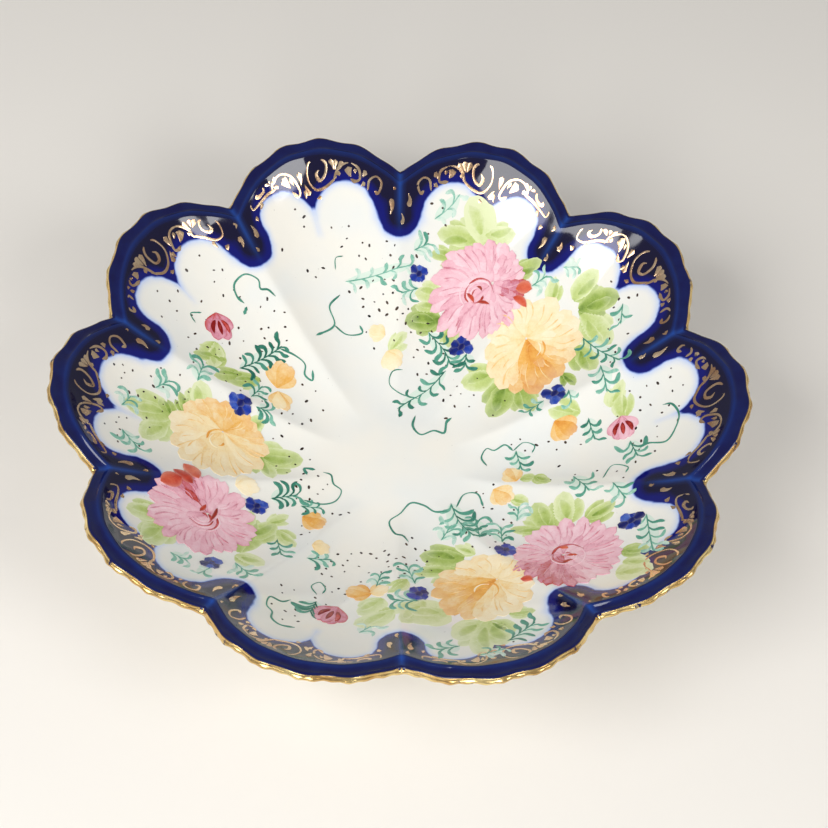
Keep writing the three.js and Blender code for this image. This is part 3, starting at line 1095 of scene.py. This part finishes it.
def gild_border():
    finish = gold("scroll_gold", rgb(240, 212, 176), rgb(200, 154, 116), DEEP_COBALT, 0.03)
    for lobe in range(LOBES):
        rng = random.Random(500 + lobe)
        at = border_way(lobe)
        hand = 1 if lobe % 2 else -1
        gilding = Paint(f"gilt_scrolls_lobe_{lobe + 1}", finish, "gilding")
        lines = [([(start + s, v) for s, v in points], width)
                 for start in MOTIF_STARTS for points, width in SCROLLS]
        for points, width in lines + [(LAST_CURL, 0.6)]:
            nudge = rng.uniform(-0.5, 0.5)
            laid = [at(hand * (s + nudge), v + rng.uniform(-0.25, 0.25)) for s, v in points]
            gilding.stroke(laid, line_width(width * 1.2), GILT_LIFT, rng.random(), fineness=0.4, dome=0.025)
        for start in MOTIF_STARTS:
            for head_s, head_v, tail_s, tail_v, width in COMMAS:
                head = at(hand * (start + head_s), head_v + rng.uniform(-0.3, 0.3))
                tail = at(hand * (start + tail_s), tail_v + rng.uniform(-0.3, 0.3))
                middle = ((head[0] + tail[0]) / 2 + rng.uniform(-0.4, 0.4), (head[1] + tail[1]) / 2)
                gilding.stroke([head, middle, tail], comma_width(width * 1.35), GILT_LIFT, rng.random(),
                               across=4, fineness=0.6, dome=0.035)
        crest = lobe * LOBE_TURN
        for beside, head, tail, width in FINGER_COMMAS:
            head += rng.uniform(-1, 1)
            tail += rng.uniform(-1, 1)
            dab = [beside_crest(crest, reach, aside) for reach, aside in (
                (head, beside), ((head + tail) / 2, beside + 0.7), (tail, beside))]
            gilding.stroke(dab, comma_width(width * 1.2), GILT_LIFT, rng.random(),
                           across=4, fineness=0.6, dome=0.035)
        gilding.finish_piece()


ROPE_TWISTS = 14          # turns of the rope along one lobe
ROPE_SLANT = 1.6
GILT_LEAF = 0.05          # how thick the gold is where it thins away over the top
GILT_CORE = 0.55
BAND_STEPS = 150 * LOBES


def rim_gilding():
    """The gilt band over the edge of the lip, tooled aslant into a rope and rubbed with use."""
    half = LIP_THICKNESS / 2
    outer = [(math.radians(mix(50, -84, number / 11)), None) for number in range(12)]
    inner = [(math.radians(angle), GILT_CORE) for angle in (-74, 0, 40)]

    def station_at(angle, core):
        """A ring of the band at an angle round the lip's edge. core is its radius inside the porcelain."""
        def station(turn):
            across = across_lobe(turn)
            swell = 0.5 + 0.5 * math.cos(math.pi * ROPE_TWISTS * (across + 1) + angle * ROPE_SLANT)
            notch = math.exp(-((1 - abs(across)) / 0.045) ** 2)
            low = ease(-angle, math.radians(-14), math.radians(30))
            proud = core - half if core else GILT_LEAF + low * (0.85 + 0.4 * swell + 0.25 * notch)
            return lip_point(turn, LIP_WIDTH - 0.8 + math.cos(angle) * (half + proud),
                             half - math.sin(angle) * (half + proud))
        return station
    section = outer + inner
    stations = [station_at(angle, core) for angle, core in section[::-1] + section[-1:]]
    roll = turned_body("rim_gilding_band", stations, BAND_STEPS, (), first=4)
    finish = gold("edge_gold", rgb(244, 218, 152), rgb(204, 160, 96), LEDGE_COBALT, 0.06)
    place(roll, finish, "gilding", "rim_gilding")


# The foot ring's section, as (radius, height), from its inside round its standing face to its outside.
FOOT_SECTION = [
    (37.2, SEAT_HEIGHT + 0.3), (38.3, 4.6), (38.9, 3), (39.2, 1.4), (39.5, 0.5), (40.2, 0.05), (41, 0),
    (42.8, 0), (43.6, 0.05), (44.3, 0.5), (44.8, 1.4), (45.2, 3), (45.8, 4.6), (46.9, SEAT_HEIGHT + 0.4),
    (42, SEAT_HEIGHT + 0.6), (37.2, SEAT_HEIGHT + 0.3)]
FOOT_STEPS = 192


def foot_porcelain():
    """Bare biscuit on the standing face, and glaze above it up to a slightly wandering line."""
    material, tree, shader = new_material("foot_porcelain")
    place_on_ring = node(tree, "ShaderNodeSeparateXYZ")
    tree.links.new(node(tree, "ShaderNodeTexCoord").outputs["Object"], place_on_ring.inputs["Vector"])
    wander = spread(tree, noise(tree, 120, 3), 0.3, 0.7, -0.0003, 0.0003)
    glazed = spread(tree, sums(tree, "ADD", place_on_ring.outputs["Z"], wander), 0.0006, 0.0009)
    grain = spread(tree, noise(tree, 900, 4), 0.45, 0.7)
    biscuit = blend(tree, grain, rgb(214, 206, 190), rgb(150, 132, 110))
    tree.links.new(blend(tree, glazed, biscuit, WHITE_GLAZE), shader.inputs["Base Color"])
    tree.links.new(spread(tree, glazed, 0, 1, 0.75, 0.08), shader.inputs["Roughness"])
    bump(tree, shader, noise(tree, 2200, 3), 0.00008, 0.35)
    return material


def foot_ring():
    """The ring the bowl stands on: a rounded, bare face, glazed sides and a soft fillet up to the bowl."""
    stations = [fixed(radius, height) for radius, height in FOOT_SECTION]
    ring = turned_body("foot_ring_turned", stations, FOOT_STEPS, (), first=4)
    place(ring, foot_porcelain(), "foot_porcelain", "foot_ring")


# ---------------------------------------------------------------- studio
CAMERA_ELEVATION = math.radians(52.78)
CAMERA_ROLL = math.radians(3.81)
CAMERA_TURN = math.radians(-3.40)
CAMERA_DISTANCE = 739.5 * MM
CAMERA_AIM_RIGHT = 5.2 * MM
CAMERA_AIM_UP = -5.9 * MM
CAMERA_LENS = 88.25


def add_camera():
    back = Vector((0, -math.cos(CAMERA_ELEVATION), math.sin(CAMERA_ELEVATION)))
    up = Vector((0, math.sin(CAMERA_ELEVATION), math.cos(CAMERA_ELEVATION)))
    right = Vector((1, 0, 0))
    turned = Matrix.Rotation(CAMERA_TURN, 3, "Z")
    aim = Vector((0, 0, NOTCH_HEIGHT * MM)) + turned @ (right * CAMERA_AIM_RIGHT + up * CAMERA_AIM_UP)
    axes = Matrix((turned @ right, turned @ up, turned @ back)).transposed()
    camera = bpy.data.objects.new("camera", bpy.data.cameras.new("camera"))
    camera.matrix_world = (Matrix.Translation(aim + turned @ back * CAMERA_DISTANCE)
                           @ (axes @ Matrix.Rotation(CAMERA_ROLL, 3, "Z")).to_4x4())
    camera.data.lens = CAMERA_LENS
    camera.data.sensor_width = 36
    camera.data.clip_start = 0.01
    bpy.context.scene.collection.objects.link(camera)
    bpy.context.scene.camera = camera


def softbox(name, place_at, aim_at, width, height, power):
    light = bpy.data.lights.new(name, "AREA")
    light.shape = "RECTANGLE"
    light.size = width
    light.size_y = height
    light.energy = power
    made = bpy.data.objects.new(name, light)
    made.location = place_at
    made.rotation_euler = (Vector(aim_at) - Vector(place_at)).to_track_quat("-Z", "Y").to_euler()
    bpy.context.scene.collection.objects.link(made)
    return made


# The windows: name, turn and height in degrees, width, height and power.
WINDOWS = (
    ("window_left", -52, 43, 0.72, 0.62, 8.5), ("window_right", 52, 40, 0.44, 0.42, 4.2),
    ("window_front", -4, 31, 0.22, 0.3, 1.6))
WINDOW_DISTANCE = 1.1


def add_floor():
    mesh_builder = bmesh.new()
    bmesh.ops.create_grid(mesh_builder, x_segments=1, y_segments=1, size=3.0)
    floor = finish_mesh("floor", mesh_builder, False)
    material, tree, shader = new_material("pale_floor")
    shader.inputs["Base Color"].default_value = (*rgb(234, 229, 221), 1)
    shader.inputs["Roughness"].default_value = 0.6
    floor.data.materials.append(material)


def add_lights():
    bpy.context.scene.view_settings.view_transform = "Standard"
    world = bpy.data.worlds.new("room")
    bpy.context.scene.world = world
    world.use_nodes = True
    world.node_tree.nodes["Background"].inputs["Color"].default_value = (0.97, 0.98, 1.0, 1)
    world.node_tree.nodes["Background"].inputs["Strength"].default_value = 0.29
    overhead = softbox("overhead", (0.0, 0.2, 1.6), (0, 0, 0), 1.4, 1.4, 1.2)
    overhead.visible_glossy = False
    for name, turn_degrees, height_degrees, width, tall, power in WINDOWS:
        turn = math.radians(turn_degrees)
        height = math.radians(height_degrees)
        level = math.cos(height)
        spot = Vector((math.sin(turn) * level, -math.cos(turn) * level, math.sin(height)))
        softbox(name, spot * WINDOW_DISTANCE, (0, 0, 0.03), width, tall, power)


add_camera()
add_floor()
add_lights()
bowl_shell()
foot_ring()
rim_gilding()
gild_border()
paint_sprays()
paint_dots()
